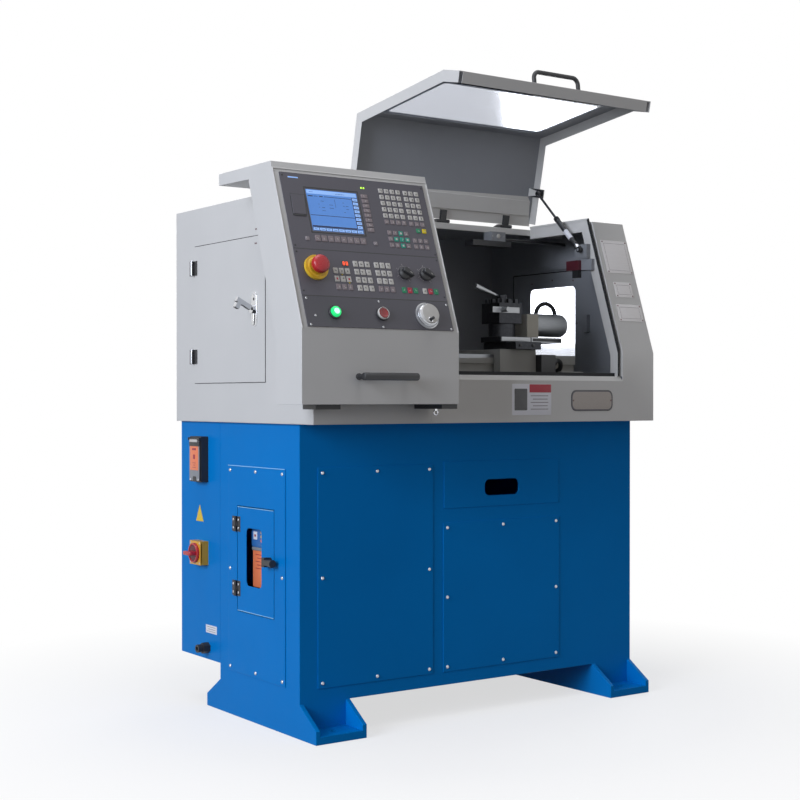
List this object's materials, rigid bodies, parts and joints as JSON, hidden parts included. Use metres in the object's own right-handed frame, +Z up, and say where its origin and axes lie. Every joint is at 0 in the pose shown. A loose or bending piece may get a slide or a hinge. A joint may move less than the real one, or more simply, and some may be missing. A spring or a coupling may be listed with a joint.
{
  "type": "benchtop cnc lathe",
  "caption": "Small slant-front lathe on a stand: lift-up lid on a gas strut, sliding control console, tool turret, chuck, drawer, service doors and rear electrical cabinet",
  "frame": {"origin": "on the floor at the centre of the four anchor holes of the stand's feet", "axes": "+X to the right seen from the front, towards the column end; +Y to the rear; +Z up"},
  "size_m": [1.2805, 0.9235, 1.7269],
  "materials": {
    "blue_paint": "gloss",
    "white_paint": "satin",
    "black_metal": "satin",
    "dark_panel": "satin",
    "rubber_trim": "matte",
    "clear": "clear",
    "bright_steel": "satin",
    "chrome": "polished",
    "cast": "painted",
    "tool_steel": "blackened",
    "motor_paint": "satin",
    "grey_plastic": "matte",
    "black_plastic": "matte",
    "red_plastic": "gloss",
    "dark_red_plastic": "gloss",
    "green_lens": "lit",
    "display": "lit",
    "key_white": "matte"
  },
  "bodies": {
    "frame": {"stand_frame": "blue_paint", "front_covers": "blue_paint", "side_cover": "blue_paint", "inverter": "grey_plastic", "electrical_cabinet": "blue_paint", "cover_screws": "bright_steel", "hinge_brackets": "black_metal", "enclosure": "white_paint", "headstock_guard": "white_paint", "end_door_catch": "grey_plastic", "door_seal": "rubber_trim", "interlock_switch": "dark_red_plastic", "work_light": "black_metal", "console_rail": "dark_panel", "bed": "cast", "headstock": "cast", "spindle_motor": "motor_paint", "drive_belt": "rubber_trim"},
    "lid": {"lid": "white_paint", "lid_window": "clear", "lid_handle": "black_metal"},
    "strut_cylinder": {"strut_cylinder": "black_metal"},
    "strut_rod": {"strut_rod": "bright_steel"},
    "console": {"console_shell": "white_paint", "console_handle": "black_metal", "control_panel": "dark_panel", "screen": "display", "operator_panel": "dark_panel", "switch_panel": "dark_panel", "panel_keys": "key_white"},
    "console_latch_pin": {"console_latch_pin": "chrome"},
    "emergency_stop_button": {"emergency_stop_button": "red_plastic"},
    "override_knob_left": {"override_knob_left": "black_plastic"},
    "override_knob_right": {"override_knob_right": "black_plastic"},
    "start_button": {"start_button": "green_lens"},
    "stop_button": {"stop_button": "red_plastic"},
    "pulse_handwheel": {"pulse_handwheel": "chrome"},
    "guard_door": {"guard_door": "white_paint"},
    "lock_handle": {"lock_handle": "chrome"},
    "end_door": {"end_door": "white_paint", "end_door_window": "clear"},
    "side_door": {"side_door": "blue_paint"},
    "side_door_latch": {"side_door_latch": "black_metal"},
    "cabinet_door": {"cabinet_door": "blue_paint"},
    "drawer": {"drawer": "blue_paint"},
    "main_switch_handle": {"main_switch_handle": "red_plastic"},
    "socket_flap": {"socket_flap": "black_plastic"},
    "spindle": {"spindle": "bright_steel", "chuck": "bright_steel"},
    "chuck_jaw_1": {"chuck_jaw_1": "bright_steel"},
    "chuck_jaw_2": {"chuck_jaw_2": "bright_steel"},
    "chuck_jaw_3": {"chuck_jaw_3": "bright_steel"},
    "motor_pulley": {"motor_pulley": "bright_steel"},
    "ball_screw": {"ball_screw": "bright_steel"},
    "saddle": {"saddle": "cast", "cross_motor": "black_metal"},
    "cross_slide": {"cross_slide": "cast", "turret_motor": "bright_steel"},
    "turret": {"turret": "tool_steel"},
    "clamp_lever": {"clamp_lever": "black_metal"}
  },
  "joints": [
    {"name": "lid_hinge", "type": "hinge", "parent": "frame", "child": "lid", "pos_m": [0.1165, 0.112, 1.364], "axis": [1, 0, 0], "range_deg": [0, 78]},
    {"name": "strut_pivot", "type": "hinge", "parent": "frame", "child": "strut_cylinder", "pos_m": [0.415, -0.15, 1.276], "axis": [1, 0, 0], "range_deg": [-32.93, 0.5]},
    {"name": "strut_slide", "type": "slide", "parent": "strut_cylinder", "child": "strut_rod", "axis": [0, 0.7115, 0.7027], "range_m": [-0.10493, 0.0005]},
    {"name": "console_slide", "type": "slide", "parent": "frame", "child": "console", "axis": [1, 0, 0], "range_m": [0, 0.2]},
    {"name": "latch_pin_pull", "type": "slide", "parent": "frame", "child": "console_latch_pin", "axis": [0, 0, -1], "range_m": [0, 0.008], "stiffness_N_per_m": 400, "springref_m": -0.002},
    {"name": "emergency_stop_press", "type": "slide", "parent": "console", "child": "emergency_stop_button", "axis": [0, 0.9413, -0.3377], "range_m": [0, 0.005], "stiffness_N_per_m": 1500, "springref_m": -0.001},
    {"name": "start_press", "type": "slide", "parent": "console", "child": "start_button", "axis": [0, 0.9413, -0.3377], "range_m": [0, 0.0035], "stiffness_N_per_m": 600, "springref_m": -0.001},
    {"name": "stop_press", "type": "slide", "parent": "console", "child": "stop_button", "axis": [0, 0.9413, -0.3377], "range_m": [0, 0.0035], "stiffness_N_per_m": 600, "springref_m": -0.001},
    {"name": "override_left_turn", "type": "hinge", "parent": "console", "child": "override_knob_left", "pos_m": [-0.3565, -0.36916, 1.1529], "axis": [0, -0.9413, 0.3377], "range_deg": [-135, 135]},
    {"name": "override_right_turn", "type": "hinge", "parent": "console", "child": "override_knob_right", "pos_m": [-0.2935, -0.36916, 1.1529], "axis": [0, -0.9413, 0.3377], "range_deg": [-135, 135]},
    {"name": "handwheel_turn", "type": "hinge", "parent": "console", "child": "pulse_handwheel", "pos_m": [-0.3165, -0.40698, 1.04747], "axis": [0, -0.9413, 0.3377], "continuous": true},
    {"name": "guard_door_hinge", "type": "hinge", "parent": "frame", "child": "guard_door", "pos_m": [-0.5775, 0.339, 0.888], "axis": [0, 0, -1], "range_deg": [0, 110]},
    {"name": "lock_turn", "type": "hinge", "parent": "guard_door", "child": "lock_handle", "pos_m": [-0.571, -0.008, 1.0765], "axis": [1, 0, 0], "range_deg": [0, 90]},
    {"name": "end_door_hinge", "type": "hinge", "parent": "frame", "child": "end_door", "pos_m": [0.5775, 0.352, 0.872], "axis": [0, 0, 1], "range_deg": [0, 110]},
    {"name": "side_door_hinge", "type": "hinge", "parent": "frame", "child": "side_door", "pos_m": [-0.5665, 0.112, 0.284], "axis": [0, 0, -1], "range_deg": [0, 110]},
    {"name": "side_latch_turn", "type": "hinge", "parent": "side_door", "child": "side_door_latch", "pos_m": [-0.56, -0.067, 0.428], "axis": [1, 0, 0], "range_deg": [0, 90]},
    {"name": "cabinet_door_hinge", "type": "hinge", "parent": "frame", "child": "cabinet_door", "pos_m": [0.534, 0.4495, 0.128], "axis": [0, 0, -1], "range_deg": [0, 110]},
    {"name": "drawer_slide", "type": "slide", "parent": "frame", "child": "drawer", "axis": [0, -1, 0], "range_m": [0, 0.3]},
    {"name": "main_switch_turn", "type": "hinge", "parent": "frame", "child": "main_switch_handle", "pos_m": [-0.56, 0.312, 0.42], "axis": [1, 0, 0], "range_deg": [0, 90]},
    {"name": "socket_flap_hinge", "type": "hinge", "parent": "frame", "child": "socket_flap", "pos_m": [-0.5853, 0.279, 0.734], "axis": [0, 1, 0], "range_deg": [0, 100]},
    {"name": "spindle_spin", "type": "hinge", "parent": "frame", "child": "spindle", "pos_m": [-0.195, -0.04, 1.1], "axis": [1, 0, 0], "continuous": true},
    {"name": "jaw_1_slide", "type": "slide", "parent": "spindle", "child": "chuck_jaw_1", "axis": [0, 0, 1], "range_m": [-0.01, 0.004]},
    {"name": "jaw_2_slide", "type": "slide", "parent": "spindle", "child": "chuck_jaw_2", "axis": [0, -0.866, -0.5], "range_m": [-0.01, 0.004]},
    {"name": "jaw_3_slide", "type": "slide", "parent": "spindle", "child": "chuck_jaw_3", "axis": [0, 0.866, -0.5], "range_m": [-0.01, 0.004]},
    {"name": "motor_spin", "type": "hinge", "parent": "frame", "child": "motor_pulley", "pos_m": [-0.518, 0.19, 1.02], "axis": [1, 0, 0], "continuous": true},
    {"name": "saddle_slide", "type": "slide", "parent": "frame", "child": "saddle", "axis": [1, 0, 0], "range_m": [-0.15, 0.03]},
    {"name": "ball_screw_turn", "type": "hinge", "parent": "frame", "child": "ball_screw", "pos_m": [-0.4, -0.165, 0.9], "axis": [1, 0, 0], "range_deg": [-10805, 2165]},
    {"name": "cross_slide_slide", "type": "slide", "parent": "saddle", "child": "cross_slide", "axis": [0, 1, 0], "range_m": [-0.06, 0.03]},
    {"name": "turret_index", "type": "hinge", "parent": "cross_slide", "child": "turret", "pos_m": [0.156, -0.115, 1.055], "axis": [0, 0, 1], "range_deg": [0, 270]},
    {"name": "clamp_turn", "type": "hinge", "parent": "turret", "child": "clamp_lever", "pos_m": [0.156, -0.115, 1.112], "axis": [0, 0, 1], "range_deg": [-30, 30]}
  ],
  "couplings": [
    {"joint": "strut_pivot", "follows": "lid_hinge", "ratio": -0.4157},
    {"joint": "strut_slide", "follows": "lid_hinge", "m_per_rad": -0.07671},
    {"joint": "jaw_2_slide", "follows": "jaw_1_slide", "ratio": 1},
    {"joint": "jaw_3_slide", "follows": "jaw_1_slide", "ratio": 1},
    {"joint": "motor_spin", "follows": "spindle_spin", "ratio": 1.5},
    {"joint": "ball_screw_turn", "follows": "saddle_slide", "rad_per_m": 1256.6}
  ]
}
